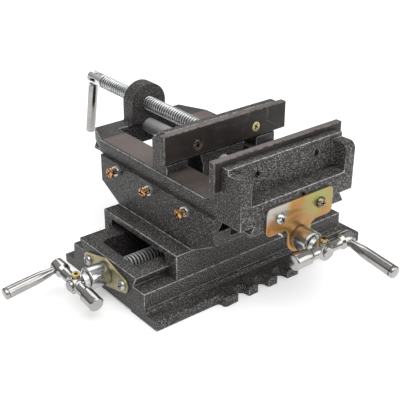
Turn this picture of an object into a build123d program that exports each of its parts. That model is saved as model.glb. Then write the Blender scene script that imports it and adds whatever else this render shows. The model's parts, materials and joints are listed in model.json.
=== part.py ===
from build123d import *
from math import cos, radians, sin, tan
import os

os.makedirs("parts", exist_ok=True)

# All sizes are in millimetres and degrees.
# X runs along the base, Y towards the main screw's handle, Z up.
# The origin is the middle of the base underside.

# Fits
slide_gap = 0.05
flank_gap = 0.1
shaft_gap = 0.05
thread_gap = 0.05
tang_gap = 0.2
thrust_gap = 0.1
screw_end_gap = 0.5

# Dovetails
dovetail_angle = 60.0

# Base casting
base_length = 206.0
base_width = 98.0
shoulder_height = 24.4
flange_width = 128.0
flange_height = 8.0
flange_tongue = 11.5
flange_corner = 3.0
lower_dovetail_width = 79.0
lower_dovetail_height = 9.0
trough_width = 47.0
trough_floor = 9.0
trough_corner = 4.0
end_wall = 10.5
recess_width = 62.0
recess_depth = 2.0
casting_fillet = 3.0
flange_round = 2.0
edge_round = 1.2

# Bolting fingers on both long sides of the base
finger_zone_centre = -4.5
finger_zone_length = 79.0
finger_reach = 7.0
notch_count = 3
notch_pitch = 20.5
notch_width = 11.0
notch_depth = 9.0

# Saddle casting
saddle_length = 146.0
saddle_ledge = 45.7
saddle_upper_length = 116.8
saddle_upper_width = 147.0
saddle_top = 81.5
saddle_end_height = 22.5
lower_relief_height = 7.0
lower_strip_width = 5.5
upper_channel_depth = 11.6
upper_strip_width = 8.0
upper_relief_depth = 6.6
screw_trough_width = 50.0
screw_trough_floor = 47.5

# Gibs and their adjusting screws
lower_gib_thickness = 4.0
upper_gib_thickness = 3.0
gib_margin = 0.5
gib_end_inset = 3.0
gib_screw_pitch = 45.0
lower_gib_screw_height = 29.5
upper_gib_screw_height = 77.0
upper_gib_screw_centre = 1.0
gib_screw_radius = 2.5
gib_screw_head_radius = 4.2
gib_screw_head_height = 2.8
gib_screw_stand_off = 7.5
gib_nut_across_flats = 8.0
gib_nut_thickness = 4.0

# Leadscrews, their nuts and bearings
screw_radius = 6.0
journal_radius = 5.0
lower_screw_axis = 21.0
lower_screw_reach = 188.0
upper_screw_axis = 60.0
upper_screw_reach = 184.6
bearing_flange_thickness = 2.0
bearing_radius = 9.2
bearing_edge = 1.0
bearing_recess_radius = 7.5
bearing_recess_depth = 1.5
lower_bearing_length = 16.5
upper_bearing_length = 14.5
collar_radius = 8.0
collar_length = 5.5
collar_room = 0.5
diamond_centre_radius = 12.0
diamond_lobe_radius = 6.5
diamond_screw_spacing = 47.0
tee_width = 66.0
tee_top = 92.0
tee_bottom = 70.0
tee_corner = 4.5
tee_lobe_radius = 11.5
tee_fillet = 5.0
tee_screw_spacing = 40.6
tee_screw_height = 82.0
flange_screw_radius = 2.5
flange_screw_head_radius = 4.6
flange_screw_head_height = 3.0
flange_screw_length = 11.0
nut_length = 28.0
nut_width = 24.0
upper_nut_centre = 22.0
lower_nut_drop = 9.0
upper_nut_rise = 7.4
nut_bolt_radius = 3.0
nut_bolt_head_radius = 5.0
nut_bolt_head_height = 4.0
nut_bolt_grip = 5.0

# Cranks
crank_axis_offset = 9.5
hub_radius = 7.0
hub_back = 4.5
hub_front = 4.2
hub_nose_radius = 4.4
hub_nose_front = 6.6
hub_nose_edge = 0.5
journal_in_hub = 3.0
crank_plain_reach = 29.5
crank_handle_reach = 28.4
crank_bar_radius = 4.5
crank_knob_radius = 6.0
crank_knob_length = 14.0
crank_handle_knob_length = 10.2
crank_knob_taper = 2.5
crank_knob_edge = 0.8
crank_tilt = 7.7
crank_handle_length = 48.0
crank_handle_droop = 7.0
crank_handle_root_radius = 2.8
crank_handle_swell = 17.0
crank_handle_swell_radius = 4.4
crank_handle_end_radius = 4.8
crank_handle_end_round = 1.6
crank_handle_seat = 2.0
set_screw_radius = 2.6
set_screw_stand_out = 2.4

# Vise body
body_width = 112.0
body_front = -99.6
body_rear = 102.0
rail_height = 11.3
rail_gap = 61.0
rail_gap_front = -74.0
rail_gap_rear = 86.7
upper_dovetail_width = 95.0
upper_dovetail_depth = 7.5
upper_dovetail_blunt = 2.0
rear_chamfer_length = 26.5
rear_chamfer_width = 11.0
rail_relief_length = 12.5
rail_relief_depth = 1.3

# Fixed jaw, part of the vise body
jaw_wall_back = -79.0
jaw_wall_front = -86.0
jaw_wall_top = 124.0
plate_ledge = 105.0
pocket_floor = 98.2
arm_thickness = 10.0
arm_top = 120.0
arm_corner = 6.0
pocket_fillet = 2.5

# Boss of the main screw, part of the vise body
boss_radius = 17.2
boss_front = 84.7
boss_rear = 98.5
boss_fillet = 3.0

# Jaw plates
plate_length = 125.0
plate_thickness = 6.0
plate_height = 23.3
plate_edge = 0.5
moving_plate_length = 122.0
moving_plate_height = 22.7
plate_screw_spacing = 58.6
plate_screw_height = 113.4
plate_screw_radius = 2.5
plate_screw_head_radius = 4.1
plate_screw_length = 10.0
plate_screw_sink = 0.3

# Movable jaw
jaw_opening = 53.0
jaw_width = 110.0
jaw_depth = 18.0
jaw_top_depth = 5.7
jaw_slope_drop = 9.7
jaw_foot_inner = 35.0
jaw_foot_step = 0.3
jaw_slot_bottom = 101.0
jaw_slot_depth = 2.0
jaw_arch_top = 106.5
jaw_block_top_width = 48.0
jaw_block_width = 40.0
jaw_block_tail = 8.0
jaw_block_tail_top = 100.0

# Keeper plate under the rails
keeper_width = 76.0
keeper_thickness = 5.0
keeper_bolt_radius = 2.5
keeper_bolt_head_radius = 5.0
keeper_bolt_length = 12.0
keeper_bolt_spacing = 14.0

# Guide bar between the rails
guide_radius = 6.5
guide_axis = 89.2
guide_front_inset = 2.6
guide_rear_inset = 5.0

# Main screw and its retainer
main_axis = 109.5
main_screw_seat = 10.5
main_screw_rear = 175.5
main_screw_edge = 1.0
neck_radius = 4.0
retainer_thickness = 3.0
retainer_width = 30.0
retainer_height = 16.0
retainer_corner = 3.0
retainer_screw_spacing = 21.0
retainer_screw_rise = 3.5
retainer_screw_radius = 2.0
retainer_screw_head_radius = 3.6
retainer_screw_head_height = 2.4
retainer_screw_length = 9.0

# Folding handle
fork_width = 4.2
fork_depth = 17.0
pin_inset = 3.0
pin_radius = 1.5
pin_length = 11.2
pin_slot_run = 10.0
tang_radius = 3.2
handle_neck_start = 6.6
handle_neck_radius = 3.0
handle_bar_start = 7.6
handle_bar_radius = 4.4
handle_length = 58.5
handle_edge = 0.8
handle_tilt = 11.7

# Sizes that follow from the ones above
flank_slope = 1 / tan(radians(dovetail_angle))
flank_sine = sin(radians(dovetail_angle))
dovetail_top = shoulder_height + lower_dovetail_height
saddle_bottom = shoulder_height + slide_gap
upper_dovetail_bottom = saddle_top - upper_dovetail_depth
body_bottom = saddle_top + slide_gap
rail_top = body_bottom + rail_height
base_left = -base_length / 2
fixed_grip = jaw_wall_back + plate_thickness
moving_grip = fixed_grip + jaw_opening
jaw_seat = moving_grip + plate_thickness
jaw_back = jaw_seat + jaw_depth
pin_position = main_screw_rear - pin_inset
crank_handle_position = crank_handle_reach - crank_handle_knob_length / 2
flange_hole_depth = flange_screw_length - bearing_flange_thickness + screw_end_gap
plate_sink_radius = plate_screw_head_radius + shaft_gap + plate_screw_sink


def lower_half(height):
    """Half width of the base dovetail at a height."""
    return lower_dovetail_width / 2 - (dovetail_top - height) * flank_slope


def upper_half(height):
    """Half width of the vise body dovetail at a height."""
    return upper_dovetail_width / 2 - (height - upper_dovetail_bottom) * flank_slope


def facing(direction, points):
    """Planes at the points, all looking in one direction."""
    return [Plane(origin=point, z_dir=direction) for point in points]


def pan_screws(planes, head_radius, head_height, shank_radius, shank_length):
    """Round-headed screws with the undersides of their heads on the planes."""
    with BuildPart() as group:
        with BuildSketch(*planes):
            Circle(shank_radius)
        extrude(amount=-shank_length)
        with BuildSketch(*planes):
            Circle(head_radius)
        extrude(amount=head_height / 2)
        with BuildSketch(*[plane.offset(head_height / 2) for plane in planes]):
            Circle(head_radius)
        extrude(amount=head_height / 2, taper=35)
    return group.part


def countersunk_screws(planes, head_radius, shank_radius, shank_length):
    """Flat-headed screws with the tops of their heads on the planes."""
    with BuildPart() as group:
        with BuildSketch(*planes):
            Circle(shank_radius)
        extrude(amount=-shank_length)
        with BuildSketch(*planes):
            Circle(head_radius)
        extrude(amount=shank_radius - head_radius, taper=45)
    return group.part


def hex_nuts(planes, across_flats, thickness, bore_radius):
    """Hexagon nuts that sit on the planes."""
    with BuildPart() as group:
        with BuildSketch(*planes):
            RegularPolygon(across_flats / 2, 6, major_radius=False)
            Circle(bore_radius, mode=Mode.SUBTRACT)
        extrude(amount=thickness)
    return group.part


# Screw ends: each plane lies on the face that carries the bearing, looking outwards.
# Its x direction is the crank bar, and its y direction is the set screw.
lower_end = Plane(
    origin=(base_left, 0, lower_screw_axis),
    x_dir=(0, -cos(radians(crank_tilt)), -sin(radians(crank_tilt))),
    z_dir=(-1, 0, 0),
)
upper_end = Plane(origin=(0, body_front, upper_screw_axis), x_dir=(1, 0, 0), z_dir=(0, -1, 0))

diamond_screw_planes = facing(
    (-1, 0, 0),
    [
        (base_left - bearing_flange_thickness, side * diamond_screw_spacing / 2, lower_screw_axis)
        for side in (-1, 1)
    ],
)
tee_screw_planes = facing(
    (0, -1, 0),
    [
        (side * tee_screw_spacing / 2, body_front - bearing_flange_thickness, tee_screw_height)
        for side in (-1, 1)
    ],
)
lower_gib_screw_planes = facing(
    (0, 1, 0),
    [
        (index * gib_screw_pitch, base_width / 2, lower_gib_screw_height)
        for index in (-1, 0, 1)
    ],
)
upper_gib_screw_planes = facing(
    (-1, 0, 0),
    [
        (-saddle_upper_length / 2, upper_gib_screw_centre + index * gib_screw_pitch, upper_gib_screw_height)
        for index in (-1, 0, 1)
    ],
)
fixed_plate_screw_planes = facing(
    (0, 1, 0),
    [(side * plate_screw_spacing / 2, fixed_grip, plate_screw_height) for side in (-1, 1)],
)
moving_plate_screw_planes = facing(
    (0, -1, 0),
    [(side * plate_screw_spacing / 2, moving_grip, plate_screw_height) for side in (-1, 1)],
)
retainer_screw_planes = facing(
    (0, 1, 0),
    [
        (side * retainer_screw_spacing / 2, jaw_back + retainer_thickness, main_axis + retainer_screw_rise)
        for side in (-1, 1)
    ],
)

# Base: flange with notched fingers, body with a male dovetail, and a trough for the screw
notch_centre = flange_width / 2 + finger_reach - notch_depth + notch_width / 2
with BuildPart() as base_casting:
    with BuildSketch() as flange_outline:
        with Locations((flange_tongue / 2, 0)):
            Rectangle(base_length + flange_tongue, flange_width)
        with Locations((finger_zone_centre, 0)):
            Rectangle(finger_zone_length, flange_width + 2 * finger_reach)
        rounded = flange_outline.vertices().filter_by(lambda corner: corner.X > base_left + 0.01)
        fillet(rounded, flange_corner)
        for side in (-1, 1):
            with Locations((finger_zone_centre, side * notch_centre)):
                with GridLocations(notch_pitch, 0, notch_count, 1):
                    Circle(notch_width / 2, mode=Mode.SUBTRACT)
            with Locations((finger_zone_centre, side * (notch_centre + notch_depth / 2))):
                with GridLocations(notch_pitch, 0, notch_count, 1):
                    Rectangle(notch_width, notch_depth, mode=Mode.SUBTRACT)
    extrude(amount=flange_height)
    rims = base_casting.edges().group_by(Axis.Z)[-1]
    fillet(rims.filter_by(lambda edge: edge.center().X > base_left + 0.01), flange_round)
    with BuildSketch(Plane.YZ):
        with BuildLine():
            Line((0, flange_height), (base_width / 2 + casting_fillet, flange_height))
            RadiusArc(
                (base_width / 2 + casting_fillet, flange_height),
                (base_width / 2, flange_height + casting_fillet),
                -casting_fillet,
            )
            Polyline(
                (base_width / 2, flange_height + casting_fillet),
                (base_width / 2, shoulder_height),
                (lower_half(shoulder_height), shoulder_height),
                (lower_half(dovetail_top), dovetail_top),
                (0, dovetail_top),
            )
            mirror(about=Plane.YZ)
        make_face()
    extrude(amount=base_length / 2, both=True)
    with BuildSketch(Plane.XY.offset(dovetail_top)):
        RectangleRounded(base_length - 2 * end_wall, trough_width, trough_corner)
    extrude(amount=trough_floor - dovetail_top, mode=Mode.SUBTRACT)
    with BuildSketch():
        Rectangle(2 * base_length, recess_width)
    extrude(amount=recess_depth, mode=Mode.SUBTRACT)
    with BuildSketch(lower_end):
        Circle(screw_radius + shaft_gap)
    extrude(amount=-end_wall, mode=Mode.SUBTRACT)
    with BuildSketch(lower_end):
        Circle(collar_radius + collar_room)
    extrude(amount=-(collar_length + collar_room), mode=Mode.SUBTRACT)
    with Locations(*[plane.offset(-bearing_flange_thickness) for plane in diamond_screw_planes]):
        Hole(flange_screw_radius + thread_gap, flange_hole_depth)
base_casting.part.label = "base_casting"
export_step(base_casting.part, "parts/base_casting.step")

# Saddle: dovetail channel along X below, dovetail channel along Y above, trough for the upper screw
lower_gib_shift = (lower_gib_thickness + 2 * flank_gap) / flank_sine
upper_gib_shift = (upper_gib_thickness + 2 * flank_gap) / flank_sine
plain_side_shift = flank_gap / flank_sine
channel_roof = dovetail_top + slide_gap
relief_roof = channel_roof + lower_relief_height
lower_channel_front = -lower_half(channel_roof) - plain_side_shift
lower_channel_rear = lower_half(channel_roof) + lower_gib_shift
upper_strip_floor = saddle_top - upper_channel_depth
upper_relief_floor = upper_strip_floor - upper_relief_depth
upper_strip_inner = upper_half(upper_strip_floor) - upper_strip_width
with BuildPart() as saddle_casting:
    with BuildSketch(Plane.YZ):
        with Locations((0, saddle_bottom)):
            Rectangle(base_width, saddle_ledge - saddle_bottom, align=(Align.CENTER, Align.MIN))
    extrude(amount=saddle_length / 2, both=True)
    with BuildSketch(Plane.YZ):
        with BuildLine():
            Polyline(
                (0, saddle_ledge),
                (base_width / 2, saddle_ledge),
                (saddle_upper_width / 2, saddle_top - saddle_end_height),
                (saddle_upper_width / 2, saddle_top),
                (0, saddle_top),
            )
            mirror(about=Plane.YZ)
        make_face()
    extrude(amount=saddle_upper_length / 2, both=True)
    with BuildSketch(Plane.YZ):
        with BuildLine():
            Polyline(
                (-lower_half(saddle_bottom) - plain_side_shift, saddle_bottom),
                (lower_channel_front, channel_roof),
                (lower_channel_front + lower_strip_width, channel_roof),
                (lower_channel_front + lower_strip_width, relief_roof),
                (lower_channel_rear - lower_strip_width, relief_roof),
                (lower_channel_rear - lower_strip_width, channel_roof),
                (lower_channel_rear, channel_roof),
                (lower_half(saddle_bottom) + lower_gib_shift, saddle_bottom),
                close=True,
            )
        make_face()
    extrude(amount=saddle_length / 2, both=True, mode=Mode.SUBTRACT)
    with BuildSketch(Plane.XZ):
        with BuildLine():
            Polyline(
                (-upper_half(saddle_top) - upper_gib_shift, saddle_top),
                (-upper_half(upper_strip_floor) - upper_gib_shift, upper_strip_floor),
                (-upper_strip_inner, upper_strip_floor),
                (-upper_strip_inner, upper_relief_floor),
                (-screw_trough_width / 2, upper_relief_floor),
                (-screw_trough_width / 2, screw_trough_floor),
                (screw_trough_width / 2, screw_trough_floor),
                (screw_trough_width / 2, upper_relief_floor),
                (upper_strip_inner, upper_relief_floor),
                (upper_strip_inner, upper_strip_floor),
                (upper_half(upper_strip_floor) + plain_side_shift, upper_strip_floor),
                (upper_half(saddle_top) + plain_side_shift, saddle_top),
                close=True,
            )
        make_face()
    extrude(amount=saddle_upper_width / 2, both=True, mode=Mode.SUBTRACT)
    with Locations(*lower_gib_screw_planes):
        Hole(gib_screw_radius + thread_gap, base_width / 2 - lower_half(saddle_bottom))
    with Locations(*upper_gib_screw_planes):
        Hole(gib_screw_radius + thread_gap, saddle_upper_length / 2 - upper_half(saddle_top))
    with BuildSketch(Plane.XY.offset(relief_roof)):
        with Locations((0, 0), (0, upper_nut_centre)):
            Circle(nut_bolt_radius + shaft_gap)
    extrude(amount=screw_trough_floor - relief_roof, mode=Mode.SUBTRACT)
    fillet(saddle_casting.edges().filter_by(Axis.Z).group_by(SortBy.LENGTH)[-1], edge_round)
saddle_casting.part.label = "saddle_casting"
export_step(saddle_casting.part, "parts/saddle_casting.step")

# Gibs: flat strips that fill the slack between the dovetail flanks
lower_gib_top = dovetail_top - gib_margin
lower_gib_bottom = saddle_bottom + gib_margin
lower_gib_inner = flank_gap / flank_sine
lower_gib_outer = (flank_gap + lower_gib_thickness) / flank_sine
with BuildPart() as lower_gib:
    with BuildSketch(Plane.YZ):
        with BuildLine():
            Polyline(
                (lower_half(lower_gib_bottom) + lower_gib_inner, lower_gib_bottom),
                (lower_half(lower_gib_top) + lower_gib_inner, lower_gib_top),
                (lower_half(lower_gib_top) + lower_gib_outer, lower_gib_top),
                (lower_half(lower_gib_bottom) + lower_gib_outer, lower_gib_bottom),
                close=True,
            )
        make_face()
    extrude(amount=saddle_length / 2 - gib_end_inset, both=True)
lower_gib.part.label = "lower_gib"
export_step(lower_gib.part, "parts/lower_gib.step")

upper_gib_top = saddle_top - gib_margin
upper_gib_bottom = upper_strip_floor + gib_margin
upper_gib_outer = (flank_gap + upper_gib_thickness) / flank_sine
with BuildPart() as upper_gib:
    with BuildSketch(Plane.XZ):
        with BuildLine():
            Polyline(
                (-upper_half(upper_gib_bottom) - plain_side_shift, upper_gib_bottom),
                (-upper_half(upper_gib_top) - plain_side_shift, upper_gib_top),
                (-upper_half(upper_gib_top) - upper_gib_outer, upper_gib_top),
                (-upper_half(upper_gib_bottom) - upper_gib_outer, upper_gib_bottom),
                close=True,
            )
        make_face()
    extrude(amount=saddle_upper_width / 2 - gib_end_inset, both=True)
upper_gib.part.label = "upper_gib"
export_step(upper_gib.part, "parts/upper_gib.step")

# Adjusting screws: each tip stops where its highest or lowest edge meets the sloping gib
lower_tip = lower_half(lower_gib_screw_height + gib_screw_radius) + lower_gib_outer + flank_gap
upper_tip = upper_half(upper_gib_screw_height - gib_screw_radius) + upper_gib_outer + flank_gap
lower_gib_screws = pan_screws(
    [plane.offset(gib_screw_stand_off) for plane in lower_gib_screw_planes],
    gib_screw_head_radius,
    gib_screw_head_height,
    gib_screw_radius,
    gib_screw_stand_off + base_width / 2 - lower_tip,
)
lower_gib_screws.label = "lower_gib_screws"
export_step(lower_gib_screws, "parts/lower_gib_screws.step")

upper_gib_screws = pan_screws(
    [plane.offset(gib_screw_stand_off) for plane in upper_gib_screw_planes],
    gib_screw_head_radius,
    gib_screw_head_height,
    gib_screw_radius,
    gib_screw_stand_off + saddle_upper_length / 2 - upper_tip,
)
upper_gib_screws.label = "upper_gib_screws"
export_step(upper_gib_screws, "parts/upper_gib_screws.step")

lower_gib_nuts = hex_nuts(
    lower_gib_screw_planes, gib_nut_across_flats, gib_nut_thickness, gib_screw_radius + thread_gap
)
lower_gib_nuts.label = "lower_gib_nuts"
export_step(lower_gib_nuts, "parts/lower_gib_nuts.step")

upper_gib_nuts = hex_nuts(
    upper_gib_screw_planes, gib_nut_across_flats, gib_nut_thickness, gib_screw_radius + thread_gap
)
upper_gib_nuts.label = "upper_gib_nuts"
export_step(upper_gib_nuts, "parts/upper_gib_nuts.step")

# Nut blocks on the saddle: the lower one hangs from the roof, the upper one stands on the trough floor
with BuildPart() as lower_screw_nut:
    with BuildSketch(Plane.XY.offset(relief_roof)):
        Rectangle(nut_length, nut_width)
    extrude(amount=lower_screw_axis - lower_nut_drop - relief_roof)
    fillet(lower_screw_nut.edges().filter_by(Axis.Z), edge_round)
    with BuildSketch(Plane.YZ):
        with Locations((0, lower_screw_axis)):
            Circle(screw_radius + thread_gap)
    extrude(amount=nut_length / 2, both=True, mode=Mode.SUBTRACT)
    with Locations(Plane(origin=(0, 0, relief_roof))):
        Hole(nut_bolt_radius + thread_gap, nut_bolt_grip + shaft_gap)
lower_screw_nut.part.label = "lower_screw_nut"
export_step(lower_screw_nut.part, "parts/lower_screw_nut.step")

lower_nut_bolt = pan_screws(
    [Plane(origin=(0, 0, screw_trough_floor))],
    nut_bolt_head_radius,
    nut_bolt_head_height,
    nut_bolt_radius,
    screw_trough_floor - relief_roof + nut_bolt_grip,
)
lower_nut_bolt.label = "lower_nut_bolt"
export_step(lower_nut_bolt, "parts/lower_nut_bolt.step")

with BuildPart() as upper_screw_nut:
    with BuildSketch(Plane.XY.offset(screw_trough_floor)):
        with Locations((0, upper_nut_centre)):
            Rectangle(nut_width, nut_length)
    extrude(amount=upper_screw_axis + upper_nut_rise - screw_trough_floor)
    fillet(upper_screw_nut.edges().filter_by(Axis.Z), edge_round)
    with BuildSketch(Plane.XZ):
        with Locations((0, upper_screw_axis)):
            Circle(screw_radius + thread_gap)
    extrude(amount=2 * nut_length, both=True, mode=Mode.SUBTRACT)
    with Locations(Plane(origin=(0, upper_nut_centre, screw_trough_floor), z_dir=(0, 0, -1))):
        Hole(nut_bolt_radius + thread_gap, nut_bolt_grip + shaft_gap)
upper_screw_nut.part.label = "upper_screw_nut"
export_step(upper_screw_nut.part, "parts/upper_screw_nut.step")

upper_nut_bolt = pan_screws(
    [Plane(origin=(0, upper_nut_centre, relief_roof), z_dir=(0, 0, -1))],
    nut_bolt_head_radius,
    nut_bolt_head_height,
    nut_bolt_radius,
    screw_trough_floor - relief_roof + nut_bolt_grip,
)
upper_nut_bolt.label = "upper_nut_bolt"
export_step(upper_nut_bolt, "parts/upper_nut_bolt.step")


def bearing_housing(end, length):
    """Turned sleeve in front of a bearing flange, with a rounded and recessed mouth."""
    with BuildPart() as housing:
        with BuildSketch(end.offset(bearing_flange_thickness)):
            Circle(bearing_radius)
            Circle(screw_radius + shaft_gap, mode=Mode.SUBTRACT)
        extrude(amount=length)
        mouth = housing.edges().filter_by(GeomType.CIRCLE).sort_by(Axis(end.origin, end.z_dir))
        fillet(mouth.group_by(SortBy.RADIUS)[-1].sort_by(Axis(end.origin, end.z_dir))[-1], bearing_edge)
        with BuildSketch(end.offset(bearing_flange_thickness + length - bearing_recess_depth)):
            Circle(bearing_recess_radius)
        extrude(amount=bearing_recess_depth, mode=Mode.SUBTRACT)
    return housing.part


def lead_screw(end, reach, length):
    """Plain body of a screw from its far end to its smaller journal in the crank hub."""
    mouth = bearing_flange_thickness + length
    with BuildPart() as screw:
        with BuildSketch(end.offset(-reach)):
            Circle(screw_radius)
        extrude(amount=reach + mouth)
        with BuildSketch(end.offset(mouth)):
            Circle(journal_radius)
        extrude(amount=crank_axis_offset + journal_in_hub)
    return screw.part


def thrust_collar(end):
    """Ring on the screw that bears on the back of the bearing flange."""
    with BuildPart() as collar:
        with BuildSketch(end.offset(-thrust_gap)):
            Circle(collar_radius)
            Circle(screw_radius + shaft_gap, mode=Mode.SUBTRACT)
        extrude(amount=-collar_length)
    return collar.part


def handle_seat(end, length, handle_side):
    """Plane on the bar's axis in the handle's knob, looking along the drooping handle."""
    middle = end.offset(bearing_flange_thickness + length + crank_axis_offset)
    droop = radians(crank_handle_droop)
    return Plane(
        origin=middle.origin + middle.x_dir * handle_side * crank_handle_position,
        x_dir=middle.x_dir,
        z_dir=middle.z_dir * cos(droop) - middle.y_dir * sin(droop),
    )


def crank_bar(end, length, handle_side):
    """Turned cross bar with two knobs and the hub that takes the screw's journal."""
    middle = end.offset(bearing_flange_thickness + length + crank_axis_offset)
    bar_axis = Axis(middle.origin, middle.x_dir)
    with BuildPart() as crank:
        with BuildSketch(Plane(middle.origin, x_dir=middle.x_dir, z_dir=middle.z_dir)):
            for side in (-1, 1):
                reach = crank_handle_reach if side == handle_side else crank_plain_reach
                knob_length = crank_handle_knob_length if side == handle_side else crank_knob_length
                knob_start = reach - knob_length
                with BuildLine():
                    Polyline(
                        (0, 0),
                        (0, crank_bar_radius),
                        (side * (knob_start - crank_knob_taper), crank_bar_radius),
                        (side * knob_start, crank_knob_radius),
                        (side * (reach - crank_knob_edge), crank_knob_radius),
                        (side * reach, crank_knob_radius - crank_knob_edge),
                        (side * reach, 0),
                        close=True,
                    )
                make_face()
        revolve(axis=bar_axis)
        with BuildSketch(middle.offset(-hub_back)):
            Circle(hub_radius)
        extrude(amount=hub_back + hub_front)
        with BuildSketch(middle):
            Circle(hub_nose_radius)
        extrude(amount=hub_nose_front)
        nose_rim = crank.edges().filter_by(GeomType.CIRCLE).sort_by(Axis(end.origin, end.z_dir))[-1]
        chamfer(nose_rim, hub_nose_edge)
        with BuildSketch(middle.offset(journal_in_hub + shaft_gap)):
            Circle(journal_radius + shaft_gap)
        extrude(amount=-crank_axis_offset, mode=Mode.SUBTRACT)
        with BuildSketch(Plane(middle.origin, x_dir=middle.x_dir, z_dir=middle.y_dir)):
            Circle(set_screw_radius + thread_gap)
        extrude(amount=hub_radius, mode=Mode.SUBTRACT)
        with BuildSketch(handle_seat(end, length, handle_side).offset(crank_handle_seat)):
            Circle(crank_handle_root_radius + thread_gap)
        extrude(amount=crank_knob_radius, mode=Mode.SUBTRACT)
    return crank.part


def crank_handle(end, length, handle_side):
    """Round handle that swells from a slim root to a rounded end, screwed into one knob."""
    seat = handle_seat(end, length, handle_side)
    with BuildPart() as handle:
        with BuildSketch(Plane(seat.origin, x_dir=seat.z_dir, z_dir=seat.x_dir)):
            with BuildLine():
                Polyline(
                    (crank_handle_length, 0),
                    (crank_handle_seat + shaft_gap, 0),
                    (crank_handle_seat + shaft_gap, crank_handle_root_radius),
                    (crank_knob_radius, crank_handle_root_radius),
                    (crank_handle_swell, crank_handle_swell_radius),
                    (crank_handle_length - crank_handle_end_round, crank_handle_end_radius),
                    (crank_handle_length, crank_handle_end_radius - crank_handle_end_round),
                    close=True,
                )
            make_face()
        revolve(axis=Axis(seat.origin, seat.z_dir))
        rims = handle.edges().filter_by(GeomType.CIRCLE).sort_by(Axis(seat.origin, seat.z_dir))
        fillet(rims[-2:], crank_handle_end_round / 2)
    return handle.part


def set_screw(end, length):
    """Screw on top of the hub that grips the journal."""
    middle = end.offset(bearing_flange_thickness + length + crank_axis_offset)
    with BuildPart() as screw:
        with BuildSketch(
            Plane(middle.origin, x_dir=middle.x_dir, z_dir=middle.y_dir).offset(journal_radius + shaft_gap)
        ):
            Circle(set_screw_radius)
        extrude(amount=hub_radius - journal_radius + set_screw_stand_out)
    return screw.part


# Lower bearing and its crank, at the left end of the base
with BuildPart() as lower_bearing_flange:
    with BuildSketch(Plane(lower_end.origin, x_dir=(0, 1, 0), z_dir=(-1, 0, 0))):
        Circle(diamond_centre_radius)
        with Locations((-diamond_screw_spacing / 2, 0), (diamond_screw_spacing / 2, 0)):
            Circle(diamond_lobe_radius)
        make_hull()
        Circle(screw_radius + shaft_gap, mode=Mode.SUBTRACT)
        with Locations((-diamond_screw_spacing / 2, 0), (diamond_screw_spacing / 2, 0)):
            Circle(flange_screw_radius + thread_gap, mode=Mode.SUBTRACT)
    extrude(amount=bearing_flange_thickness)
lower_bearing_flange.part.label = "lower_bearing_flange"
export_step(lower_bearing_flange.part, "parts/lower_bearing_flange.step")

lower_bearing_housing = bearing_housing(lower_end, lower_bearing_length)
lower_bearing_housing.label = "lower_bearing_housing"
export_step(lower_bearing_housing, "parts/lower_bearing_housing.step")

lower_flange_screws = pan_screws(
    diamond_screw_planes,
    flange_screw_head_radius,
    flange_screw_head_height,
    flange_screw_radius,
    flange_screw_length,
)
lower_flange_screws.label = "lower_flange_screws"
export_step(lower_flange_screws, "parts/lower_flange_screws.step")

lower_leadscrew = lead_screw(lower_end, lower_screw_reach, lower_bearing_length)
lower_leadscrew.label = "lower_leadscrew"
export_step(lower_leadscrew, "parts/lower_leadscrew.step")

lower_thrust_collar = thrust_collar(lower_end)
lower_thrust_collar.label = "lower_thrust_collar"
export_step(lower_thrust_collar, "parts/lower_thrust_collar.step")

lower_crank_bar = crank_bar(lower_end, lower_bearing_length, -1)
lower_crank_bar.label = "lower_crank_bar"
export_step(lower_crank_bar, "parts/lower_crank_bar.step")

lower_crank_handle = crank_handle(lower_end, lower_bearing_length, -1)
lower_crank_handle.label = "lower_crank_handle"
export_step(lower_crank_handle, "parts/lower_crank_handle.step")

lower_crank_setscrew = set_screw(lower_end, lower_bearing_length)
lower_crank_setscrew.label = "lower_crank_setscrew"
export_step(lower_crank_setscrew, "parts/lower_crank_setscrew.step")

# Upper bearing and its crank, at the front of the vise body
with BuildPart() as upper_bearing_flange:
    with BuildSketch(Plane(upper_end.origin, x_dir=(1, 0, 0), z_dir=(0, -1, 0))) as tee_outline:
        with Locations((0, tee_top - upper_screw_axis)):
            Rectangle(tee_width, tee_top - tee_bottom, align=(Align.CENTER, Align.MAX))
        Rectangle(2 * tee_lobe_radius, tee_bottom - upper_screw_axis, align=(Align.CENTER, Align.MIN))
        tee_corners = tee_outline.vertices()
        fillet(tee_corners.filter_by(lambda corner: abs(corner.X) > tee_lobe_radius + 1), tee_corner)
        necks = tee_outline.vertices().filter_by(
            lambda corner: abs(abs(corner.X) - tee_lobe_radius) < 0.01 and corner.Y > 1
        )
        fillet(necks, tee_fillet)
        Circle(tee_lobe_radius)
        Circle(screw_radius + shaft_gap, mode=Mode.SUBTRACT)
        with Locations((0, tee_screw_height - upper_screw_axis)):
            with GridLocations(tee_screw_spacing, 0, 2, 1):
                Circle(flange_screw_radius + thread_gap, mode=Mode.SUBTRACT)
    extrude(amount=bearing_flange_thickness)
upper_bearing_flange.part.label = "upper_bearing_flange"
export_step(upper_bearing_flange.part, "parts/upper_bearing_flange.step")

upper_bearing_housing = bearing_housing(upper_end, upper_bearing_length)
upper_bearing_housing.label = "upper_bearing_housing"
export_step(upper_bearing_housing, "parts/upper_bearing_housing.step")

upper_flange_screws = pan_screws(
    tee_screw_planes,
    flange_screw_head_radius,
    flange_screw_head_height,
    flange_screw_radius,
    flange_screw_length,
)
upper_flange_screws.label = "upper_flange_screws"
export_step(upper_flange_screws, "parts/upper_flange_screws.step")

upper_leadscrew = lead_screw(upper_end, upper_screw_reach, upper_bearing_length)
upper_leadscrew.label = "upper_leadscrew"
export_step(upper_leadscrew, "parts/upper_leadscrew.step")

upper_thrust_collar = thrust_collar(upper_end)
upper_thrust_collar.label = "upper_thrust_collar"
export_step(upper_thrust_collar, "parts/upper_thrust_collar.step")

upper_crank_bar = crank_bar(upper_end, upper_bearing_length, 1)
upper_crank_bar.label = "upper_crank_bar"
export_step(upper_crank_bar, "parts/upper_crank_bar.step")

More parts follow.
